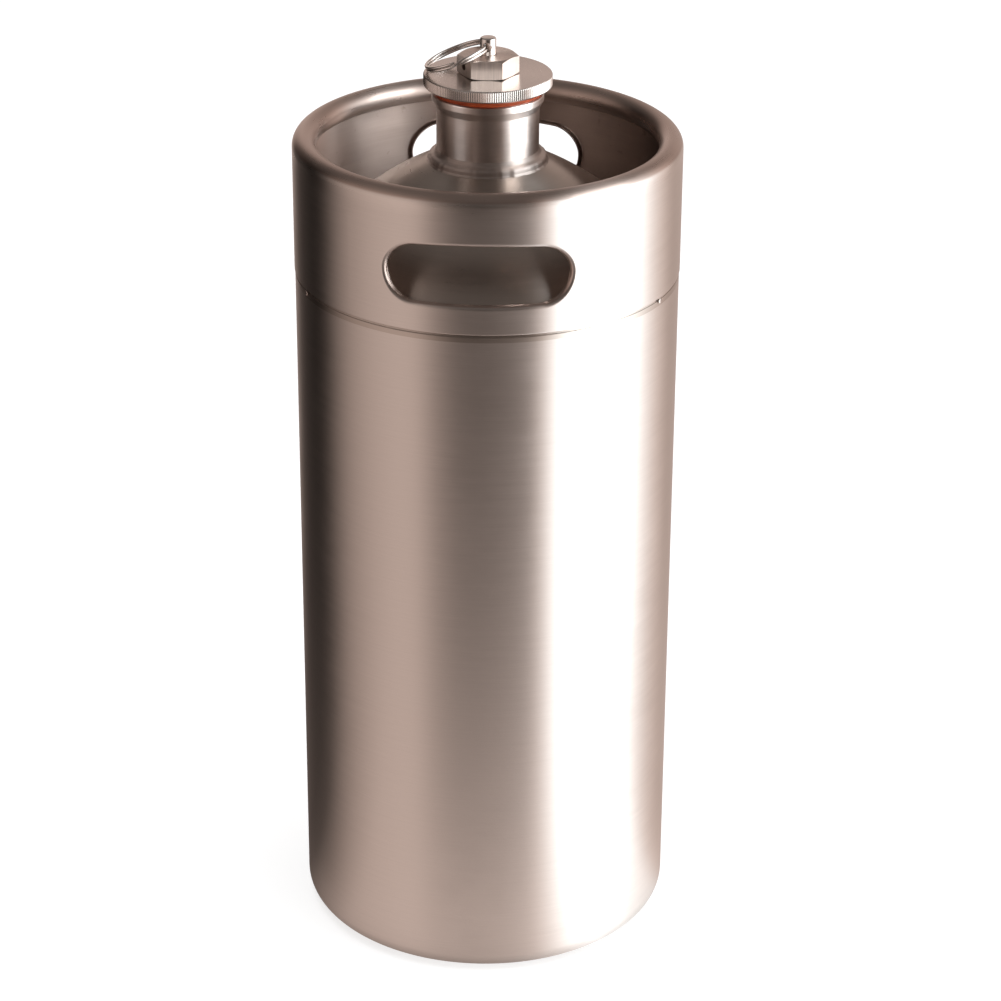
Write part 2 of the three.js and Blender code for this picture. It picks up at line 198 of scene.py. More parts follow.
def on_ring(angle, radius, height):
    """A point at an angle from the front of the keg, which faces -Y, turning towards +X."""
    return Vector((radius * math.sin(angle), -radius * math.cos(angle), height))


def ring_angles(count):
    return [2 * math.pi * i / count for i in range(count)]


def arc(centre_r, centre_z, radius, start, end, steps):
    """Profile points on an arc, with the angles in degrees."""
    points = []
    for i in range(steps + 1):
        angle = math.radians(start + (end - start) * i / steps)
        x = centre_r + radius * math.cos(angle)
        points.append((x, centre_z + radius * math.sin(angle)))
    return points


def rounded(corners, steps=5):
    """A closed profile whose corners (radius, height, fillet) are rounded. A corner on the axis
    stays sharp."""
    points = []
    count = len(corners)
    for i, (r, z, fillet) in enumerate(corners):
        corner = Vector((r, z))
        before = Vector(corners[i - 1][:2]) - corner
        after = Vector(corners[(i + 1) % count][:2]) - corner
        if fillet == 0 or r == 0:
            points.append((r, z))
            continue
        half = before.angle(after) / 2
        back = min(fillet / math.tan(half), 0.49 * before.length, 0.49 * after.length)
        radius = back * math.tan(half)
        middle = (before.normalized() + after.normalized()).normalized()
        centre = corner + middle * (radius / math.sin(half))
        start = corner + before.normalized() * back - centre
        end = corner + after.normalized() * back - centre
        turn = start.angle_signed(end)
        for k in range(steps + 1):
            spoke = Matrix.Rotation(-turn * k / steps, 2) @ start
            points.append(tuple(centre + spoke))
    return points


def lathe(name, profile, columns, shape=None):
    """A closed mesh turned about the axis. shape(angle, radius, height) may move each point."""
    rows = []
    for radius, height in profile:
        row = []
        for angle in ring_angles(columns):
            r, z = shape(angle, radius, height) if shape else (radius, height)
            row.append(on_ring(angle, r, z))
        rows.append(row)
    starts_on_axis = profile[0][0] == 0
    builder = bmesh.new()
    add_grid(builder, rows, close_rows=not starts_on_axis)
    return mesh_of(builder, name)


def smooth_step(value, low, high):
    t = min(max((value - low) / (high - low), 0), 1)
    return t * t * (3 - 2 * t)


def subdivided(profile, steps_between):
    """The same profile with extra points: steps_between(start, end) says how many steps."""
    points = []
    for start, end in zip(profile, profile[1:] + profile[:1]):
        (r0, z0), (r1, z1) = start, end
        steps = steps_between(start, end)
        for k in range(steps):
            points.append((r0 + (r1 - r0) * k / steps, z0 + (z1 - z0) * k / steps))
    return points


def spaced(spacing):
    """For subdivided: steps of about this length."""
    return lambda start, end: max(1, round(math.dist(start, end) / spacing))


# ---- materials -------------------------------------------------------------------------------


class Nodes:
    """A short way to write a node tree: each call adds a node and joins or sets its inputs."""

    def __init__(self, tree):
        self.tree = tree
        tree.nodes.clear()

    def add(self, kind, inputs=None, **settings):
        made = self.tree.nodes.new(kind)
        for key, value in settings.items():
            setattr(made, key, value)
        for key, value in (inputs or {}).items():
            socket = made.inputs[key]
            if isinstance(value, bpy.types.NodeSocket):
                self.tree.links.new(value, socket)
            else:
                socket.default_value = value
        return made

    def math(self, operation, a, b=0.0):
        return self.add("ShaderNodeMath", {0: a, 1: b}, operation=operation).outputs[0]

    def range(self, value, low, high, from_low=0.3, from_high=0.7):
        inputs = {
            "Value": value,
            "From Min": from_low,
            "From Max": from_high,
            "To Min": low,
            "To Max": high,
        }
        return self.add("ShaderNodeMapRange", inputs).outputs["Result"]

    def split(self, vector):
        return self.add("ShaderNodeSeparateXYZ", {0: vector}).outputs

    def level_part(self, place):
        """The vector to a place from the nearest point of the axis."""
        parts = self.split(place)
        return self.add("ShaderNodeCombineXYZ", {0: parts[0], 1: parts[1]}).outputs[0]

    def length(self, vector):
        made = self.add("ShaderNodeVectorMath", {0: vector}, operation="LENGTH")
        return made.outputs["Value"]

    def mix(self, factor, first, second, blend_type="MIX"):
        """Mixes a colour, linked or plain, with a plain second colour."""
        settings = {"data_type": "RGBA", "blend_type": blend_type}
        made = self.add("ShaderNodeMix", {"Factor": factor}, **settings)
        if isinstance(first, bpy.types.NodeSocket):
            self.tree.links.new(first, made.inputs["A"])
        else:
            made.inputs["A"].default_value = (*first, 1)
        made.inputs["B"].default_value = (*second, 1)
        return made.outputs["Result"]

    def surface(self, kind, inputs):
        """Ends a material with its shader."""
        shader = self.add(kind, inputs)
        self.add("ShaderNodeOutputMaterial", {"Surface": shader.outputs[0]})


def new_material(name):
    material = bpy.data.materials.new(name)
    material.use_nodes = True
    return material, Nodes(material.node_tree)


def object_place(nodes):
    return nodes.add("ShaderNodeTexCoord").outputs["Object"]


def turned_grain(nodes, around, across):
    """Coordinates that are long round the axis and fine along the profile."""
    place = object_place(nodes)
    flat = nodes.level_part(place)
    unit = nodes.add("ShaderNodeVectorMath", {0: flat}, operation="NORMALIZE")
    spoke = nodes.split(unit.outputs[0])
    along = nodes.math("SUBTRACT", nodes.split(place)[2], nodes.length(flat))
    inputs = {
        0: nodes.math("MULTIPLY", spoke[0], around),
        1: nodes.math("MULTIPLY", spoke[1], around),
        2: nodes.math("MULTIPLY", along, across),
    }
    return nodes.add("ShaderNodeCombineXYZ", inputs).outputs[0]


def upright_grain(nodes, across, along):
    """Coordinates that are long up the axis and fine across it."""
    inputs = {"Vector": object_place(nodes), "Scale": (across, across, along)}
    return nodes.add("ShaderNodeMapping", inputs).outputs[0]


def noise_value(nodes, vector, scale=1.0, detail=3.0, roughness=0.6):
    inputs = {"Vector": vector, "Scale": scale, "Detail": detail, "Roughness": roughness}
    return nodes.add("ShaderNodeTexNoise", inputs).outputs[0]


# How far the highlight is turned from the material's tangent, as a share of a full turn.
BRUSHED_ROUND = 0.25
BRUSHED_UPRIGHT = 0.0
BROAD_BANDS = 0.12  # fineness of the broad bands, over that of the streaks


def brushed_steel(
    name,
    colour,
    roughness,
    anisotropy,
    grain,
    contrast=0.055,
    relief=0.008,
    brushing=BRUSHED_ROUND,
    spots_and_shade_inside=None,
    polished_above=None,
):
    """Brushed or turned stainless: fine streaks, broader bands and faint handling marks.

    grain(nodes, fineness) gives the streaks' coordinates. The inside radius and polished_above
    come together. Within the inside radius the colour is darker and warmer, a painted shade for
    the collar's inner side, which lies in shade, and it is spotted below the height
    polished_above. Above that height the sheet is rubbed smoother.
    """
    material, nodes = new_material(name)
    fine = noise_value(nodes, grain(nodes, 1.0), detail=2.0)
    broad = noise_value(nodes, grain(nodes, BROAD_BANDS), detail=2.0)
    place = object_place(nodes)
    marks = noise_value(nodes, place, scale=38.0, detail=4.0)
    streaks = nodes.math("MULTIPLY", nodes.math("ADD", fine, broad), 0.5)
    shade = nodes.range(streaks, 1 - contrast, 1 + contrast)
    worn = nodes.math("MULTIPLY", shade, nodes.range(marks, 0.96, 1.03))
    shown = nodes.mix(1.0, worn, colour, "MULTIPLY")
    rough = nodes.math("MULTIPLY", nodes.range(streaks, 0.9, 1.1), roughness)
    rough = nodes.math("MULTIPLY", rough, nodes.range(marks, 0.94, 1.08))
    if spots_and_shade_inside:
        spots = noise_value(nodes, place, scale=150.0, detail=3.0)
        radius = nodes.length(nodes.level_part(place))
        inside = nodes.range(radius, 1.0, 0.0, spots_and_shade_inside - 0.0002, spots_and_shade_inside + 0.0002)
        # Painted shade: the collar's inner side, which lies in shade, is made darker and
        # warmer.
        shown = nodes.mix(inside, shown, INSIDE_SHADE_TINT, "MULTIPLY")
        height = nodes.split(place)[2]
        below = nodes.range(height, 1.0, 0.0, polished_above - 0.001, polished_above)
        spotted = nodes.math("MULTIPLY", nodes.range(spots, 0.0, 1.0, 0.34, 0.27), below)
        shown = nodes.mix(nodes.math("MULTIPLY", inside, spotted), shown, SPOT_TINT, "MULTIPLY")
        rubbed = nodes.range(height, 1.0, RIM_POLISH, polished_above, polished_above + 0.004)
        rough = nodes.math("MULTIPLY", rough, rubbed)
    bump = nodes.add(
        "ShaderNodeBump", {"Height": fine, "Strength": relief, "Distance": 0.0002}
    )
    tangent = nodes.add("ShaderNodeTangent", direction_type="RADIAL", axis="Z")
    inputs = {
        "Base Color": shown,
        "Metallic": 1.0,
        "Roughness": rough,
        "Anisotropic": anisotropy,
        "Anisotropic Rotation": brushing,
        "Normal": bump.outputs[0],
        "Tangent": tangent.outputs[0],
    }
    nodes.surface("ShaderNodeBsdfPrincipled", inputs)
    return material


def bright_wire(name, colour, roughness):
    """Drawn wire: bright, with faint smudges."""
    material, nodes = new_material(name)
    smudge = noise_value(nodes, object_place(nodes), scale=420.0)
    inputs = {
        "Base Color": (*colour, 1),
        "Metallic": 1.0,
        "Roughness": nodes.range(smudge, roughness * 0.7, roughness * 1.4),
    }
    nodes.surface("ShaderNodeBsdfPrincipled", inputs)
    return material


def elastomer(name, dark, light, roughness, scatter=0.0):
    """Moulded silicone or rubber: a slightly mottled colour and a soft, matt skin."""
    material, nodes = new_material(name)
    place = object_place(nodes)
    mottle = noise_value(nodes, place, scale=260.0)
    skin = noise_value(nodes, place, scale=2600.0)
    bump = nodes.add("ShaderNodeBump", {"Height": skin, "Strength": 0.2, "Distance": 0.0001})
    inputs = {
        "Base Color": nodes.mix(nodes.range(mottle, 0.0, 1.0), dark, light),
        "Roughness": nodes.range(mottle, roughness * 0.9, roughness * 1.15),
        "Subsurface Weight": scatter,
        "Subsurface Scale": 0.002,
        "Normal": bump.outputs[0],
    }
    nodes.surface("ShaderNodeBsdfPrincipled", inputs)
    return material


WARM_STEEL = (0.61, 0.555, 0.52)
PALE_STEEL = (0.66, 0.62, 0.59)
WELD_STEEL = (0.50, 0.435, 0.40)
# Painted shade: the dome lies in the collar's shade, so its colour is darker than the wall's.
SHADED_DOME_COLOUR = (0.455, 0.40, 0.36)
NECK_COLOUR = (0.66, 0.575, 0.53)
VALVE_COLOUR = (0.69, 0.595, 0.54)
# Painted shade for the collar's inner side, which lies in shade: a darker, warmer tint.
INSIDE_SHADE_TINT = (0.72, 0.635, 0.60)
SPOT_TINT = (0.78, 0.76, 0.74)
RIM_POLISH = 0.85  # roughness of the rubbed rim, over that of the wall


def body_grain(nodes, fineness):
    return turned_grain(nodes, 3.0, 2600.0 * fineness)


def fine_grain(nodes, fineness):
    return turned_grain(nodes, 3.0, 5200.0 * fineness)


def hexagon_grain(nodes, fineness):
    return upright_grain(nodes, 3200.0 * fineness, 60.0)


SHELL_STEEL = brushed_steel("shell_steel", WARM_STEEL, 0.34, 0.96, body_grain)
# Its darker colour is painted shade.
SHOULDER_STEEL = brushed_steel(
    "shoulder_steel", SHADED_DOME_COLOUR, 0.30, 0.9, body_grain, contrast=0.05, relief=0.002
)
COLLAR_STEEL = brushed_steel(
    "collar_steel",
    WARM_STEEL,
    0.34,
    0.96,
    body_grain,
    # Its inner side is darker and warmer: painted shade.
    spots_and_shade_inside=COLLAR_RADIUS - SHEET / 2,
    polished_above=RIM_TOP - 2 * BEAD_RADIUS,
)
NECK_STEEL = brushed_steel("neck_steel", NECK_COLOUR, 0.33, 0.95, fine_grain)
CAP_STEEL = brushed_steel("cap_steel", WARM_STEEL, 0.24, 0.6, fine_grain)
VALVE_STEEL = brushed_steel(
    "valve_steel",
    VALVE_COLOUR,
    0.30,
    0.8,
    hexagon_grain,
    contrast=0.18,
    relief=0.05,
    brushing=BRUSHED_UPRIGHT,
)
STEM_STEEL = brushed_steel("stem_steel", PALE_STEEL, 0.2, 0.6, fine_grain)
WELD_METAL = brushed_steel("weld_metal", WELD_STEEL, 0.42, 0.9, body_grain, contrast=0.12)
RING_WIRE_METAL = bright_wire("ring_wire_metal", PALE_STEEL, 0.14)
SPRING_METAL = bright_wire("spring_metal", PALE_STEEL, 0.2)
SILICONE = elastomer("silicone", (0.40, 0.055, 0.012), (0.56, 0.10, 0.025), 0.42, 0.1)
BLACK_RUBBER = elastomer("black_rubber", (0.012, 0.011, 0.01), (0.03, 0.028, 0.026), 0.55)

# ---- vessel ----------------------------------------------------------------------------------


def body_shell():
    corner = BODY_RADIUS - FOOT_CORNER
    outside = arc(corner, FOOT_CORNER, FOOT_CORNER, -90, 0, 16)
    inside = arc(corner, FOOT_CORNER, FOOT_CORNER - SHEET, 0, -90, 16)
    wall_inner = BODY_RADIUS - SHEET
    profile = (
        [(FOOT_INNER_RADIUS, 0)]
        + outside
        + [(BODY_RADIUS, BODY_TOP), (wall_inner, BODY_TOP)]
        + inside
        + [(FOOT_INNER_RADIUS, SHEET)]
    )
    mesh = lathe("body_shell_mesh", subdivided(profile, spaced(0.006)), 288)
    add_object("keg_body", mesh, SHELL_STEEL, "vessel", ["body_shell"])


def base_end():
    """The dished bottom end: its flange lies on the turned-in foot, with a thin weld gap."""
    flange = SHEET * 1.1
    slope_foot = FOOT_INNER_RADIUS - 0.001
    panel = slope_foot - 0.010
    top = BASE_TOP
    corners = [
        (0, top - SHEET, 0),
        (panel, top - SHEET, 0.004),
        (slope_foot, flange, 0.002),
        (BASE_FLANGE_RADIUS, flange, SMALL_FILLET),
        (BASE_FLANGE_RADIUS, flange + SHEET, SMALL_FILLET),
        (slope_foot + SHEET / 2, flange + SHEET, 0.002),
        (panel + SHEET / 2, top, 0.004),
        (0, top, 0),
    ]
    mesh = lathe("base_end_mesh", rounded(corners), 192)
    add_object("keg_base_end", mesh, SHELL_STEEL, "vessel", ["base_end"])


KNUCKLE_CENTRE = BODY_RADIUS - KNUCKLE_RADIUS
CROWN_R = KNUCKLE_CENTRE + (KNUCKLE_RADIUS - CROWN_RADIUS) * math.cos(KNUCKLE_TURN)
CROWN_Z = BODY_TOP + (KNUCKLE_RADIUS - CROWN_RADIUS) * math.sin(KNUCKLE_TURN)


def crown_angle(radius, crown):
    """Where an arc of the crown's centre, of radius crown, is this far from the axis."""
    return math.degrees(math.acos((radius - CROWN_R) / crown))


def crown_height(radius):
    return CROWN_Z + CROWN_RADIUS * math.sin(math.radians(crown_angle(radius, CROWN_RADIUS)))


def shoulder_dome():
    turn = math.degrees(KNUCKLE_TURN)
    inner = CROWN_RADIUS - SHEET
    outer_end = crown_angle(SHOULDER_HOLE_RADIUS, CROWN_RADIUS)
    inner_end = crown_angle(SHOULDER_HOLE_RADIUS, inner)
    shelf = COLLAR_BOTTOM - SEAM_GAP
    tucked = math.degrees(math.asin((shelf - BODY_TOP) / KNUCKLE_RADIUS))
    shelf_fillet = arc(BODY_RADIUS - SEAM_FILLET, shelf - SEAM_FILLET, SEAM_FILLET, 0, 90, 5)
    profile = (
        [(BODY_RADIUS, BODY_TOP)]
        + shelf_fillet
        + arc(KNUCKLE_CENTRE, BODY_TOP, KNUCKLE_RADIUS, tucked, turn, 6)
        + arc(CROWN_R, CROWN_Z, CROWN_RADIUS, turn, outer_end, 24)[1:]
        + arc(CROWN_R, CROWN_Z, inner, inner_end, turn, 24)
        + arc(KNUCKLE_CENTRE, BODY_TOP, KNUCKLE_RADIUS - SHEET, turn, 0, 12)[1:]
    )
    mesh = lathe("shoulder_dome_mesh", profile, 288)
    add_object("keg_shoulder", mesh, SHOULDER_STEEL, "vessel", ["shoulder_dome"])


# The wall round each hand hole is a patch of its own, made of rings that follow the hole.
COLLAR_COLUMNS = 360
PATCH_HALF_ANGLE = 40  # in columns of one degree
PATCH_HALF_HEIGHT = 0.0195
PATCH_LOW = HAND_HOLE_Z - PATCH_HALF_HEIGHT
PATCH_HIGH = HAND_HOLE_Z + PATCH_HALF_HEIGHT
PATCH_ROWS = 32
PATCH_RINGS = 9
RING_CROWDING = 1.6  # over 1 crowds the patch's rings towards the hole
BEND_STEPS = 12
EDGE_STEPS = 6


def patch_heights():
    step = (PATCH_HIGH - PATCH_LOW) / PATCH_ROWS
    return [PATCH_LOW + step * i for i in range(PATCH_ROWS + 1)]


def collar_profile():
    """Points of the collar's section, and the first index of its outer and inner patch rows."""
    bead_z = RIM_TOP - BEAD_RADIUS
    fillet_z = COLLAR_BOTTOM + SEAM_FILLET
    below = [fillet_z, COLLAR_BOTTOM + 0.002]
    above = [bead_z - 0.006, bead_z - 0.002]
    heights = below + patch_heights() + above
    centre = COLLAR_RADIUS - BEAD_RADIUS
    inner = COLLAR_RADIUS - SHEET
    points = arc(COLLAR_RADIUS - SEAM_FILLET, fillet_z, SEAM_FILLET, -90, 0, 6)
    outer_start = len(points) - 1 + len(below)
    points += [(COLLAR_RADIUS, z) for z in heights[1:]]
    points += arc(centre, bead_z, BEAD_RADIUS, 0, BEAD_CURL, 44)
    points += arc(centre, bead_z, BEAD_RADIUS - SHEET, BEAD_CURL, 0, 36)
    inner_start = len(points) + len(above)
    points += [(inner, z) for z in reversed(heights[1:])]
    points += arc(inner + SEAM_FILLET, fillet_z, SEAM_FILLET, 180, 270, 4)
    return points, outer_start, inner_start


def hole_outline(angle, height):
    """The nearest point on the hand hole's bend line, and the direction away from the hole.

    Both are measured along the wall: round it from the hole's centre, and up.
    """
    s = angle * COLLAR_RADIUS
    z = height - HAND_HOLE_Z
    reach = HAND_HOLE_HALF_LENGTH - HAND_HOLE_HALF_HEIGHT
    nearest = Vector((min(max(s, -reach), reach), 0))
    away = (Vector((s, z)) - nearest).normalized()
    edge = nearest + away * HAND_HOLE_HALF_HEIGHT
    if edge.y > 0:
        along = edge.x / HAND_HOLE_HALF_LENGTH
        edge.y *= 1 - HAND_HOLE_DROOP / HAND_HOLE_HALF_HEIGHT * along**2
    return edge, away


def hole_rings(middle):
    """Rows of points from the outer wall, round the flanged edge, to the inner wall."""
    angles = [math.radians(i) for i in range(-PATCH_HALF_ANGLE, PATCH_HALF_ANGLE + 1)]
    heights = patch_heights()
    border = [(a, PATCH_LOW) for a in angles[:-1]]
    border += [(angles[-1], z) for z in heights[:-1]]
    border += [(a, PATCH_HIGH) for a in reversed(angles[1:])]
    border += [(angles[0], z) for z in reversed(heights[1:])]
    lines = [hole_outline(a, z) for a, z in border]

    def place(s, z, radius):
        return on_ring(middle + s / COLLAR_RADIUS, radius, HAND_HOLE_Z + z)

    def flat_row(share, radius):
        row = []
        for (a, z), (edge, _) in zip(border, lines):
            start = Vector((a * COLLAR_RADIUS, z - HAND_HOLE_Z))
            spot = start.lerp(edge, share)
            row.append(place(spot.x, spot.y, radius))
        return row

    def bent_row(offset, depth):
        row = []
        for edge, away in lines:
            spot = edge - away * offset
            row.append(place(spot.x, spot.y, COLLAR_RADIUS - depth))
        return row

    inner_bend = HAND_HOLE_BEND - SHEET
    edge_radius = SHEET / 2
    edge_depth = HAND_HOLE_FLANGE - edge_radius
    shares = [1 - (1 - i / PATCH_RINGS) ** RING_CROWDING for i in range(PATCH_RINGS + 1)]
    rows = [flat_row(share, COLLAR_RADIUS) for share in shares]
    bends = [math.radians(90 / BEND_STEPS * i) for i in range(1, BEND_STEPS + 1)]
    for b in bends:
        depth = HAND_HOLE_BEND * (1 - math.cos(b))
        rows.append(bent_row(HAND_HOLE_BEND * math.sin(b), depth))
    for i in range(EDGE_STEPS + 1):
        turn = math.pi * i / EDGE_STEPS
        offset = HAND_HOLE_BEND - edge_radius * (1 - math.cos(turn))
        rows.append(bent_row(offset, edge_depth + edge_radius * math.sin(turn)))
    for b in reversed(bends):
        depth = HAND_HOLE_BEND - inner_bend * math.cos(b)
        rows.append(bent_row(inner_bend * math.sin(b), depth))
    rows += [flat_row(share, COLLAR_RADIUS - SHEET) for share in reversed(shares)]
    return rows


def carry_collar():
    points, outer_start, inner_start = collar_profile()
    angles = ring_angles(COLLAR_COLUMNS)
    rows = [[on_ring(a, r, z) for a in angles] for r, z in points]
    half_turn = COLLAR_COLUMNS // 2

    def keep(row, column):
        in_outer = outer_start <= row < outer_start + PATCH_ROWS
        in_inner = inner_start <= row < inner_start + PATCH_ROWS
        middle = column + 0.5
        from_front = min(middle, COLLAR_COLUMNS - middle)
        near_hole = min(from_front, half_turn - from_front) < PATCH_HALF_ANGLE
        return not (near_hole and (in_outer or in_inner))

    builder = bmesh.new()
    add_grid(builder, rows, close_rows=True, keep=keep)
    for middle in (0, math.pi):
        add_grid(builder, hole_rings(middle))
    mesh = mesh_of(builder, "carry_collar_mesh")
    add_object("keg_collar", mesh, COLLAR_STEEL, "vessel", ["carry_collar"])


TACK_HALF_SIZE = Vector((0.0015, 0.00038, 0.0011))  # round the seam, outwards and up
TACK_RIPPLE = 0.12


def tack_weld(index):
    """A small frozen pool of weld metal: a flattened ball with a rippled surface."""
    node = f"collar_tack_weld_{index}"
    low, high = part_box(node)
    middle = (low + high) / 2
    angle = math.atan2(middle.x, -middle.y)
    builder = bmesh.new()
    bmesh.ops.create_icosphere(builder, subdivisions=4, radius=1)
    turn = Matrix.Rotation(angle, 3, "Z")
    for vertex in builder.verts:
        ripple = 1 + TACK_RIPPLE * noise.noise(vertex.co * 2.3 + Vector((index, 0, 0)))
        vertex.co = middle + turn @ (vertex.co * (TACK_HALF_SIZE * ripple))
    mesh = mesh_of(builder, node + "_mesh")
    add_object(f"tack_weld_{index}", mesh, WELD_METAL, "vessel", [node])


WELD_RIPPLE = 0.000012
WELD_RIPPLES = 64  # round the bead
WELD_LUMP = 0.00012
WELD_LUMP_PATH = 9  # radius of the circle on which the lumps' noise is read


def neck_weld_bead():
    """The weld between the dome and the neck: a rounded bead, rippled and slightly lumpy."""
    inner = NECK_RADIUS + 0.00005
    foot = BEAD_FOOT_RADIUS
    nose = crown_height(foot)
    corners = [
        (inner, crown_height(inner) - 0.0003, 0),
        (foot + 0.0010, crown_height(foot + 0.0010) - 0.0001, 0),
        (foot + 0.0003, nose + 0.0004, 0.0006),
        (foot, nose + 0.0026, 0.0019),
        (NECK_RADIUS + 0.0009, nose + 0.0035, 0.0017),
        (inner, nose + 0.0054, 0),
    ]

    def ripple(angle, radius, height):
        spot = Vector((WELD_LUMP_PATH * math.sin(angle), WELD_LUMP_PATH * math.cos(angle), 0))
        wave = math.sin(WELD_RIPPLES * angle + 2 * math.sin(5 * angle))
        swell = WELD_RIPPLE * wave + WELD_LUMP * noise.noise(spot)
        outward = smooth_step(radius, NECK_RADIUS + 0.0004, foot)
        return radius + swell * outward, height + swell * outward

    mesh = lathe("neck_weld_mesh", rounded(corners, 6), 384, ripple)
    add_object("neck_weld", mesh, WELD_METAL, "vessel", ["neck_weld_bead"])


def thread_ridge(angle, height, shift):
    """0 between the turns of a right-hand thread and 1 on its crest."""
    turn = (height / THREAD_PITCH - angle / (2 * math.pi) + shift) % 1
    return 1 - smooth_step(abs(turn - 0.5), 0.09, 0.22)


def thread_fade(height, low, high):
    """1 along a thread from low to high, and 0 at its ends."""
    fade = smooth_step(height, low, low + THREAD_RUNOUT)
    return fade * (1 - smooth_step(height, high - THREAD_RUNOUT, high))


def threaded_neck():
    corners = [
        (NECK_ROOT - 0.0002, NECK_BOTTOM, SMALL_FILLET),
        (NECK_RADIUS, NECK_BOTTOM, SMALL_FILLET),
        (NECK_RADIUS, NECK_LIP_START, 0.0016),
        (NECK_LIP_RADIUS, NECK_LIP_EDGE, 0.0012),
        (NECK_LIP_RADIUS, NECK_TOP, 0.0005),
        (NECK_ROOT + 0.0002, NECK_TOP, SMALL_FILLET),
    ]
    thread_low = PLUG_BOTTOM
    thread_high = NECK_TOP - 0.0012

    def thread(angle, radius, height):
        if radius > NECK_ROOT + 0.0003 or not thread_low < height < thread_high:
            return radius, height
        fade = thread_fade(height, thread_low, thread_high)
        ridge = thread_ridge(angle, height, 0.5)
        return radius - (NECK_ROOT - NECK_CREST) * ridge * fade, height

    profile = subdivided(rounded(corners), spaced(0.0003))
    mesh = lathe("threaded_neck_mesh", profile, 160, thread)
    add_object("keg_neck", mesh, NECK_STEEL, "vessel", ["threaded_neck"])


# ---- cap -------------------------------------------------------------------------------------


def cap_gasket():
    low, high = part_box("cap_gasket")
    bulge = high.x
    corners = [
        (GASKET_BORE, low.z, SMALL_FILLET),
        (bulge - GASKET_BULGE, low.z, 0.0006),
        (bulge, (low.z + high.z) / 2, 0.002),
        (bulge - GASKET_BULGE, high.z, 0.0006),
        (GASKET_BORE, high.z, SMALL_FILLET),
    ]
    mesh = lathe("cap_gasket_mesh", rounded(corners), 192)
    add_object("gasket", mesh, SILICONE, "gasket", ["cap_gasket"])


def screw_cap():
    thread_low = PLUG_BOTTOM
    thread_high = BOSS_BOTTOM
    corners = [
        (PLUG_BORE, PLUG_BOTTOM, SMALL_FILLET),
        (PLUG_ROOT, PLUG_BOTTOM, SMALL_FILLET),
        (PLUG_ROOT, CAP_BOTTOM, SMALL_FILLET),
        (CAP_RADIUS - CAP_CHAMFER, CAP_BOTTOM, EDGE_FILLET),
        (CAP_RADIUS, CAP_BOTTOM + CAP_CHAMFER, EDGE_FILLET),
        (CAP_RADIUS, CAP_TOP - CAP_CHAMFER, EDGE_FILLET),
        (CAP_RADIUS - CAP_CHAMFER, CAP_TOP, EDGE_FILLET),
        (RECESS_RADIUS, CAP_TOP, SMALL_FILLET),
        (RECESS_RADIUS, RECESS_BOTTOM, SMALL_FILLET),
        (TAPPED_RADIUS, RECESS_BOTTOM, SMALL_FILLET),
        (TAPPED_RADIUS, BOSS_BOTTOM, SMALL_FILLET),
        (BOSS_RADIUS, BOSS_BOTTOM, SMALL_FILLET),
        (BOSS_RADIUS, CAP_BOTTOM, SMALL_FILLET),
        (PLUG_BORE, CAP_BOTTOM, SMALL_FILLET),
    ]

    def on_plug(radius):
        return abs(radius - PLUG_ROOT) < 0.0001

    def machined(angle, radius, height):
        if radius > CAP_RADIUS - 0.0003:
            cut = 0.5 + 0.5 * math.cos(KNURL_TEETH * angle)
            edge = smooth_step(radius, CAP_RADIUS - 0.0003, CAP_RADIUS - 0.0001)
            return radius - KNURL_DEPTH * cut * edge, height
        if on_plug(radius) and thread_low < height < thread_high:
            fade = thread_fade(height, thread_low, thread_high)
            rise = (PLUG_CREST - PLUG_ROOT) * thread_ridge(angle, height, 0.0) * fade
            return radius + rise, height
        return radius, height

    def plug_steps(start, end):
        threaded = on_plug(start[0]) and on_plug(end[0]) and end[1] - start[1] > 0.005
        return 40 if threaded else 1

    profile = subdivided(rounded(corners, 3), plug_steps)
    mesh = lathe("screw_cap_mesh", profile, KNURL_TEETH * 4, machined)
    add_object("cap", mesh, CAP_STEEL, "cap", ["screw_cap"])


# ---- relief valve ----------------------------------------------------------------------------


def carved(base, tools):
    """Cuts or crosses a mesh with others: tools are (operation, mesh) pairs."""
    target = linked("scratch", base)
    helpers = []
    for operation, mesh in tools:
        helper = linked("scratch", mesh)
        helpers.append(helper)
        step = target.modifiers.new(operation.lower(), "BOOLEAN")
        step.operation = operation
        step.solver = "EXACT"
        step.object = helper
    graph = bpy.context.evaluated_depsgraph_get()
    result = bpy.data.meshes.new_from_object(target.evaluated_get(graph))
    for made in [target] + helpers:
        bpy.data.objects.remove(made)
    return result


def prism(name, sides, radius, length, centre, turn):
    """A bar of regular section whose middle is at centre."""
    builder = bmesh.new()
    bmesh.ops.create_cone(
        builder,
        cap_ends=True,
        segments=sides,
        radius1=radius,
        radius2=radius,
        depth=length,
        matrix=Matrix.Translation(centre) @ turn,
    )
    mesh = bpy.data.meshes.new(name)
    builder.to_mesh(mesh)
    builder.free()
    return mesh


def drill(radius, length, direction, centre):
    """A round cutter along a level direction."""
    turn = direction.to_track_quat("Z", "Y").to_matrix().to_4x4()
    return prism("drill", 64, radius, length, centre, turn)


def bevelled(piece, width):
    """Breaks the piece's sharp edges."""
    bevel = piece.modifiers.new("broken_edges", "BEVEL")
    bevel.width = width
    bevel.segments = 3
    bevel.limit_method = "ANGLE"
    bevel.angle_limit = math.radians(22)
    bevel.harden_normals = True
    piece.modifiers.move(len(piece.modifiers) - 1, 0)


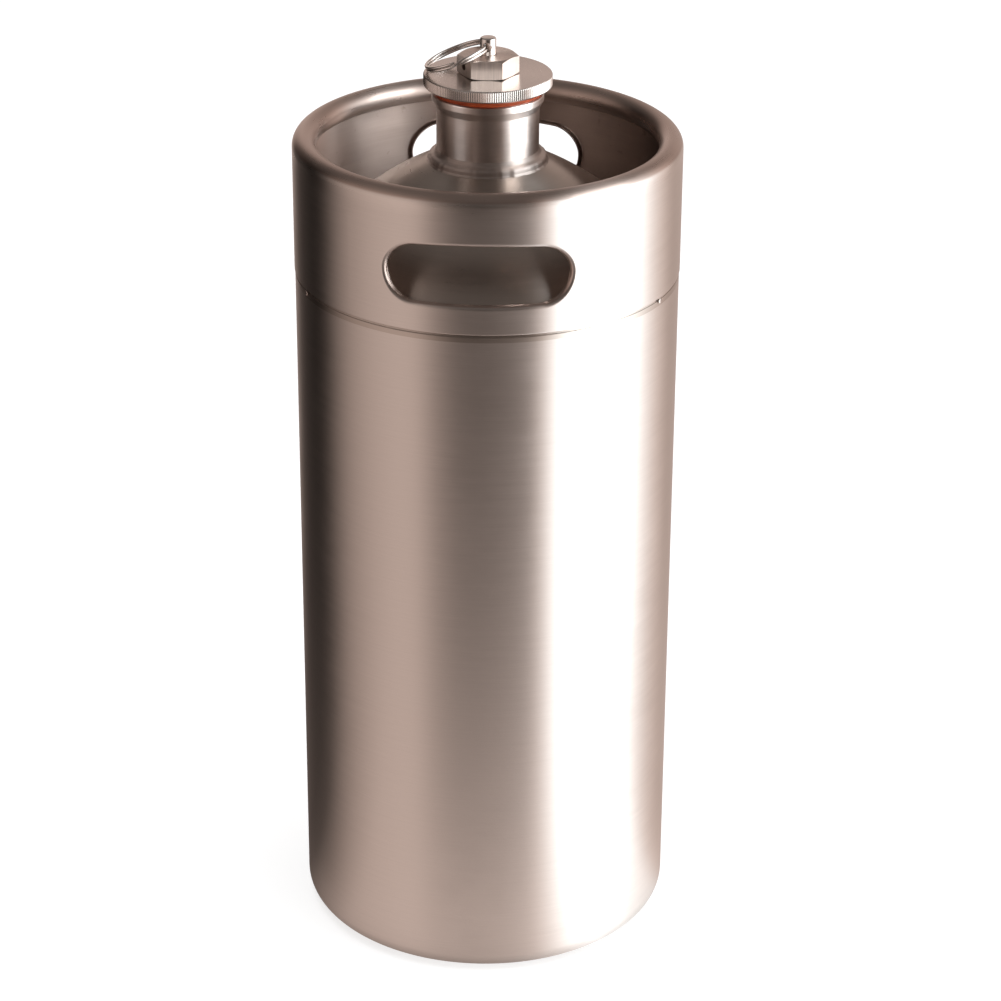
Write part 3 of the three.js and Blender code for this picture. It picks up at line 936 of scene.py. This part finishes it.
def relief_body():
    corner = HEX_FLATS / math.cos(math.pi / 6)
    height = HEX_TOP - HEX_BOTTOM
    centre = (0, 0, HEX_BOTTOM + height / 2)
    turn = Matrix.Rotation(math.pi / 2, 4, "Z")
    hexagon = prism("hexagon", 6, corner, height, centre, turn)
    inset = HEX_FLATS - 0.0002
    beyond = corner + CUT_MARGIN
    chamfers = [
        (0, HEX_BOTTOM - CUT_MARGIN),
        (inset, HEX_BOTTOM - CUT_MARGIN),
        (inset, HEX_BOTTOM),
        (beyond, HEX_BOTTOM + (beyond - inset) * math.tan(HEX_UNDERCUT)),
        (beyond, HEX_TOP - (beyond - inset) * math.tan(HEX_CHAMFER)),
        (inset, HEX_TOP),
        (inset, HEX_TOP + CUT_MARGIN),
        (0, HEX_TOP + CUT_MARGIN),
    ]
    bore = [
        (0, SHANK_BOTTOM - CUT_MARGIN),
        (CHAMBER_RADIUS, SHANK_BOTTOM - CUT_MARGIN),
        (CHAMBER_RADIUS, CHAMBER_TOP),
        (GUIDE_RADIUS, CHAMBER_TOP),
        (GUIDE_RADIUS, HEX_TOP - 0.0003),
        (0.0042, HEX_TOP + 0.0003),
        (0.0042, HEX_TOP + CUT_MARGIN),
        (0, HEX_TOP + CUT_MARGIN),
    ]
    shank = [
        (0, SHANK_BOTTOM),
        (SHANK_RADIUS - 0.0005, SHANK_BOTTOM),
        (SHANK_RADIUS, SHANK_BOTTOM + 0.0005),
        (SHANK_RADIUS, HEX_BOTTOM + 0.002),
        (0, HEX_BOTTOM + 0.002),
    ]
    across = Vector((math.cos(VENT_AZIMUTH), math.sin(VENT_AZIMUTH), 0))
    vent = drill(VENT_RADIUS, 0.05, across, Vector((0, 0, VENT_HEIGHT)))
    mesh = carved(
        hexagon,
        [
            ("INTERSECT", lathe("chamfers", chamfers, 192)),
            ("UNION", lathe("shank", shank, 96)),
            ("DIFFERENCE", lathe("bore", bore, 96)),
            ("DIFFERENCE", vent),
        ],
    )
    piece = add_object("valve_body", mesh, VALVE_STEEL, "cap", ["relief_body"])
    bevelled(piece, 0.00018)


def relief_stem():
    low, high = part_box("relief_stem")
    radius = high.x
    corners = [
        (0, low.z, 0),
        (SPIGOT_RADIUS, low.z, 0.0002),
        (SPIGOT_RADIUS, STEM_SHOULDER, EDGE_FILLET),
        (radius, STEM_SHOULDER, 0.0003),
        (radius, high.z, 0.0009),
        (0, high.z, 0),
    ]
    rod = lathe("stem_rod", rounded(corners), 96)
    pin = Vector((-math.sin(RING_AZIMUTH), math.cos(RING_AZIMUTH), 0))
    cross_hole = drill(RING_HOLE_RADIUS, 0.02, pin, RING_PIVOT)
    mesh = carved(rod, [("DIFFERENCE", cross_hole)])
    piece = add_object("valve_stem", mesh, STEM_STEEL, "valve_stem", ["relief_stem"])
    bevelled(piece, 0.0002)


def small_turned(node, name, corners, material, body):
    mesh = lathe(name + "_mesh", rounded(corners), 96)
    add_object(name, mesh, material, body, [node])


def relief_washer():
    low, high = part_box("relief_sealing_washer")
    bore = TAPPED_RADIUS + 0.0001
    corners = [
        (bore, low.z, SMALL_FILLET),
        (high.x, low.z, 0.0003),
        (high.x, high.z, 0.0003),
        (bore, high.z, SMALL_FILLET),
    ]
    small_turned(
        "relief_sealing_washer", "valve_washer", corners, BLACK_RUBBER, "cap"
    )


def relief_seat():
    """The screwed seat: a raised lip round the inlet hole."""
    low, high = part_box("relief_seat")
    shoulder = high.z - 0.00095
    corners = [
        (INLET_RADIUS, low.z, SMALL_FILLET),
        (high.x, low.z, SMALL_FILLET),
        (high.x, shoulder, SMALL_FILLET),
        (0.0034, shoulder, EDGE_FILLET),
        (0.0030, high.z, EDGE_FILLET),
        (INLET_RADIUS, high.z, EDGE_FILLET),
    ]
    small_turned("relief_seat", "valve_seat", corners, STEM_STEEL, "cap")


def relief_seal():
    low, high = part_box("relief_seal")
    corners = [
        (0, low.z, 0),
        (high.x, low.z, SMALL_FILLET),
        (high.x, high.z, SMALL_FILLET),
        (0, high.z, 0),
    ]
    small_turned("relief_seal", "valve_seal", corners, BLACK_RUBBER, "valve_stem")


def relief_poppet():
    """The disc on the stem's lower end, with a blind hole for the stem's spigot."""
    low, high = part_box("relief_poppet")
    hole = SPIGOT_RADIUS + 0.0001
    floor_z = low.z + 0.0006
    corners = [
        (0, low.z, 0),
        (high.x, low.z, SMALL_FILLET),
        (high.x, high.z, SMALL_FILLET),
        (hole, high.z, EDGE_FILLET),
        (hole, floor_z, EDGE_FILLET),
        (0, floor_z, 0),
    ]
    small_turned("relief_poppet", "valve_poppet", corners, STEM_STEEL, "valve_stem")


WIRE_SIDES = 14
WIRE_SQUARENESS = 0.8  # 1 is a round section, and less is slightly flattened on four sides


def wire_mesh(name, path, half_width, half_height, section_up):
    """A wire along a list of points. Its section's height is near the direction section_up."""
    rows = []
    for i, spot in enumerate(path):
        ahead = path[min(i + 1, len(path) - 1)] - path[max(i - 1, 0)]
        side = ahead.cross(section_up).normalized()
        up = side.cross(ahead).normalized()
        row = []
        for angle in ring_angles(WIRE_SIDES):
            c = math.cos(angle)
            s = math.sin(angle)
            across = math.copysign(abs(c) ** WIRE_SQUARENESS, c) * half_width
            upward = math.copysign(abs(s) ** WIRE_SQUARENESS, s) * half_height
            row.append(spot + side * across + up * upward)
        rows.append(row)
    rows = [[path[0]] * WIRE_SIDES] + rows + [[path[-1]] * WIRE_SIDES]
    builder = bmesh.new()
    add_grid(builder, rows)
    return mesh_of(builder, name)


def relief_spring():
    low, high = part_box("relief_spring")
    wire = SPRING_WIRE_RADIUS
    coil = high.x - wire
    steps = SPRING_TURNS * 40
    bottom = low.z + wire
    rise = high.z - low.z - 2 * wire
    path = []
    for i in range(steps + 1):
        t = i / steps
        angle = 2 * math.pi * SPRING_TURNS * t
        path.append(on_ring(angle, coil, bottom + rise * t))
    mesh = wire_mesh("relief_spring_mesh", path, wire, wire, Vector((0, 0, 1)))
    piece = add_object("valve_spring", mesh, SPRING_METAL, "cap", ["relief_spring"])
    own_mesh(piece)


def pull_ring():
    """Two turns of wire that lie on each other, with one crossover beside the cut ends."""
    crossover = math.radians(100)
    cut = math.radians(5)
    blend = math.radians(16)
    steps = 360
    half_wire = RING_WIRE / 2
    lean = Matrix.Rotation(RING_AZIMUTH, 3, "Z") @ Matrix.Rotation(RING_SLOPE, 3, "Y")
    path = []
    for i in range(steps + 1):
        angle = cut + (4 * math.pi - 2 * cut) * i / steps
        level = smooth_step(angle, 2 * math.pi - blend, 2 * math.pi + blend)
        around = angle + crossover
        offset = (2 * level - 1) * half_wire
        x = RING_RADIUS * (1 + math.cos(around))
        spot = Vector((x, RING_RADIUS * math.sin(around), offset))
        path.append(RING_PIVOT + lean @ spot)
    up = lean @ Vector((0, 0, 1))
    half_height = half_wire * 0.97  # leaves a thin gap between the turns
    mesh = wire_mesh("pull_ring_mesh", path, half_wire, half_height, up)
    add_object("valve_ring", mesh, RING_WIRE_METAL, "ring", ["pull_ring"])


# ---- studio ----------------------------------------------------------------------------------

CAMERA_AZIMUTH = math.radians(2.8)
CAMERA_DISTANCE = 1.3058
CAMERA_HEIGHT = 0.816
CAMERA_PITCH = math.radians(25.24)
CAMERA_YAW = math.radians(0.287)
CAMERA_ROLL = math.radians(0.354)
CAMERA_LENS = 113.05
CEILING_START = 0.28  # height of the direction looked in, where 1 is straight up
CEILING_END = 0.78
CEILING_LIGHT = Vector((0.205, 0.185, 0.175))
FLOOR_LEVEL = -0.0003
FLOOR_GLOW = 0.72  # keeps the shadows on the floor faint
BACKDROP_RADIUS = 3
TABLE_LEVEL = -0.0002
GLOW_REACH = 0.38
LIGHT_AIM = Vector((0, 0, 0.25))


def camera():
    data = bpy.data.cameras.new("camera")
    data.sensor_width = 36
    data.lens = CAMERA_LENS
    made = linked("camera", data)
    made.location = on_ring(CAMERA_AZIMUTH, CAMERA_DISTANCE, CAMERA_HEIGHT)
    turn = (
        Matrix.Rotation(CAMERA_AZIMUTH - CAMERA_YAW, 4, "Z")
        @ Matrix.Rotation(math.pi / 2 - CAMERA_PITCH, 4, "X")
        @ Matrix.Rotation(CAMERA_ROLL, 4, "Z")
    )
    made.rotation_euler = turn.to_euler()
    bpy.context.scene.camera = made


# Brightness round the keg, as degrees from its front towards +X, and light. The walls are what
# a level look sees, and the table's glow is what a look down at the table beside the keg sees.
WALLS = (
    (-180, 0.54),
    (-167, 0.66),
    (-158, 0.46),
    (-147, 0.07),
    (-120, 0.01),
    (-112, 0.02),
    (-104, 0.09),
    (-96, 0.28),
    (-84, 0.52),
    (-67, 0.68),
    (-50, 0.74),
    (-40, 0.70),
    (-27, 0.27),
    (-15, 0.09),
    (-3, 0.05),
    (9, 0.07),
    (20, 0.11),
    (29, 0.18),
    (35, 0.60),
    (40, 1.4),
    (47, 2.5),
    (58, 4.0),
    (92, 4.0),
    (102, 2.7),
    (110, 1.9),
    (118, 1.3),
    (126, 1.0),
    (134, 0.66),
    (141, 0.50),
    (154, 0.55),
    (180, 0.54),
)
TABLE_GLOW = (
    (-180, 0.80),
    (-150, 0.18),
    (-138, 0.08),
    (-122, 0.10),
    (-108, 0.09),
    (-94, 0.13),
    (-76, 0.38),
    (-55, 0.74),
    (-28, 0.87),
    (-2, 0.96),
    (10, 1.02),
    (22, 1.15),
    (30, 1.35),
    (36, 1.65),
    (44, 2.3),
    (84, 1.9),
    (96, 1.1),
    (106, 0.78),
    (120, 0.66),
    (145, 0.70),
    (180, 0.80),
)
FOOT_SHADE = 0.3  # how bright the table is where the keg's foot shades it
FOOT_SHADE_START = 0.078
FOOT_SHADE_END = 0.102
DIM_TINT = Vector((1.21, 0.968, 0.865))
BRIGHT_TINT = Vector((0.93, 0.975, 1.0))


def tinted(light):
    """Dim walls are warm and bright ones are nearly white."""
    return DIM_TINT.lerp(BRIGHT_TINT, smooth_step(light, 0.3, 2.4)) * light


def light_round(nodes, direction, table):
    """The light that a table gives for a direction or place round the axis, over its peak."""
    parts = nodes.split(direction)
    back = nodes.math("MULTIPLY", parts[1], -1.0)
    angle = nodes.math("ARCTAN2", parts[0], back)
    share = nodes.range(angle, 0.0, 1.0, -math.pi, math.pi)
    ramp = nodes.add("ShaderNodeValToRGB", {"Fac": share})
    elements = ramp.color_ramp.elements
    while len(elements) < len(table):
        elements.new(0.5)
    for element, (degrees, light) in zip(elements, table):
        element.position = (degrees + 180) / 360
        element.color = (*(tinted(light) / peak(table)), 1)
    return ramp.outputs[0]


def peak(table):
    return max(light for _, light in table)


def studio_walls():
    """A soft studio: walls that differ round the keg, and a dim ceiling."""
    world = bpy.data.worlds.new("studio")
    bpy.context.scene.world = world
    world.use_nodes = True
    nodes = Nodes(world.node_tree)
    view = nodes.add("ShaderNodeTexCoord").outputs["Generated"]
    upward = nodes.range(nodes.split(view)[2], 0.0, 1.0, CEILING_START, CEILING_END)
    room = nodes.mix(upward, light_round(nodes, view, WALLS), CEILING_LIGHT / peak(WALLS))
    inputs = {"Color": room, "Strength": peak(WALLS)}
    background = nodes.add("ShaderNodeBackground", inputs)
    nodes.add("ShaderNodeOutputWorld", {"Surface": background.outputs[0]})


def only_seen_by(made, camera=False, glossy=False):
    """Limits which rays a staged object or light meets, so that it throws no shadow."""
    made.visible_camera = camera
    made.visible_glossy = glossy
    made.visible_diffuse = False
    made.visible_transmission = False
    made.visible_shadow = False


def staged(name, profile):
    """A turned stage surface that isn't part of the keg."""
    builder = bmesh.new()
    rows = [[on_ring(a, r, z) for a in ring_angles(96)] for r, z in profile]
    add_grid(builder, rows)
    made = linked(name, mesh_of(builder, name + "_mesh"))
    made.data.shade_smooth()
    return made


def floor():
    """A pale floor that curves up into a backdrop all round."""
    radius = BACKDROP_RADIUS
    flat = [(0, FLOOR_LEVEL), (1, FLOOR_LEVEL), (radius, FLOOR_LEVEL)]
    made = staged("floor", flat + arc(radius, radius + FLOOR_LEVEL, radius, -90, 0, 16))
    material = bpy.data.materials.new("floor_paint")
    material.use_nodes = True
    shader = material.node_tree.nodes["Principled BSDF"]
    shader.inputs["Base Color"].default_value = (0.4, 0.4, 0.4, 1)
    shader.inputs["Roughness"].default_value = 0.8
    shader.inputs["Specular IOR Level"].default_value = 0.1
    shader.inputs["Emission Color"].default_value = (1, 1, 1, 1)
    shader.inputs["Emission Strength"].default_value = FLOOR_GLOW
    made.data.materials.append(material)
    only_seen_by(made, camera=True)


def table_glow():
    """What the keg's polished sides see of the bright table: it fades with distance."""
    made = staged("table_glow", [(radius, TABLE_LEVEL) for radius in (0, 0.1, 1.6)])
    material, nodes = new_material("table_glow")
    place = object_place(nodes)
    distance = nodes.length(place)
    share = nodes.math("DIVIDE", distance, GLOW_REACH)
    square = nodes.math("MULTIPLY", share, share)
    cover = nodes.math("EXPONENT", nodes.math("MULTIPLY", square, -1.0))
    shaded = nodes.range(distance, FOOT_SHADE, 1.0, FOOT_SHADE_START, FOOT_SHADE_END)
    strength = nodes.math("MULTIPLY", shaded, peak(TABLE_GLOW))
    glow_inputs = {"Color": light_round(nodes, place, TABLE_GLOW), "Strength": strength}
    glow = nodes.add("ShaderNodeEmission", glow_inputs)
    clear = nodes.add("ShaderNodeBsdfTransparent")
    nodes.surface("ShaderNodeMixShader", {0: cover, 1: clear.outputs[0], 2: glow.outputs[0]})
    made.data.materials.append(material)
    only_seen_by(made, glossy=True)


def soft_light(name, degrees, elevation, distance, size, radiance):
    """A square light that faces the keg. degrees are counted round from the keg's front."""
    data = bpy.data.lights.new(name, "AREA")
    data.size = size
    data.energy = radiance * math.pi * size * size
    data.color = BRIGHT_TINT
    made = linked(name, data)
    tilt = math.radians(elevation)
    reach = distance * math.cos(tilt)
    made.location = LIGHT_AIM + on_ring(math.radians(degrees), reach, distance * math.sin(tilt))
    made.rotation_euler = (LIGHT_AIM - made.location).to_track_quat("-Z", "Y").to_euler()
    made.visible_camera = False
    return made


def shine_only_on(light, *names):
    """Snoots a light, so that it meets only the named pieces."""
    receivers = bpy.data.collections.new(light.name + "_receivers")
    for name in names:
        receivers.objects.link(bpy.data.objects[name])
    light.light_linking.receiver_collection = receivers
    light.visible_diffuse = False


camera()
studio_walls()
floor()
table_glow()
# Each light: degrees round from the front, elevation, distance, size and radiance.
overhead = soft_light("overhead", 0, 88, 2.4, 2.6, 3.2)
overhead.visible_glossy = False
softbox = soft_light("softbox", 74, 28, 1.6, 0.9, 3.6)
softbox.visible_diffuse = False
cap_lights = [
    soft_light("cap_front_light", -4, 30, 1.8, 1.0, 2.0),
    soft_light("cap_side_light", 112, 30, 1.8, 0.9, 3.5),
]
neck_lights = [
    soft_light("neck_side_light", 79, 26, 1.6, 1.3, 8.0),
    soft_light("neck_back_light", -62, 26, 1.6, 0.7, 2.0),
]
bpy.context.scene.view_settings.view_transform = "Standard"

body_shell()
base_end()
shoulder_dome()
carry_collar()
for number in range(1, 5):
    tack_weld(number)
neck_weld_bead()
threaded_neck()
cap_gasket()
screw_cap()
relief_body()
relief_washer()
relief_seat()
relief_seal()
relief_poppet()
relief_stem()
relief_spring()
pull_ring()
for light in cap_lights:
    shine_only_on(light, "cap", "valve_body")
for light in neck_lights:
    shine_only_on(light, "keg_neck")
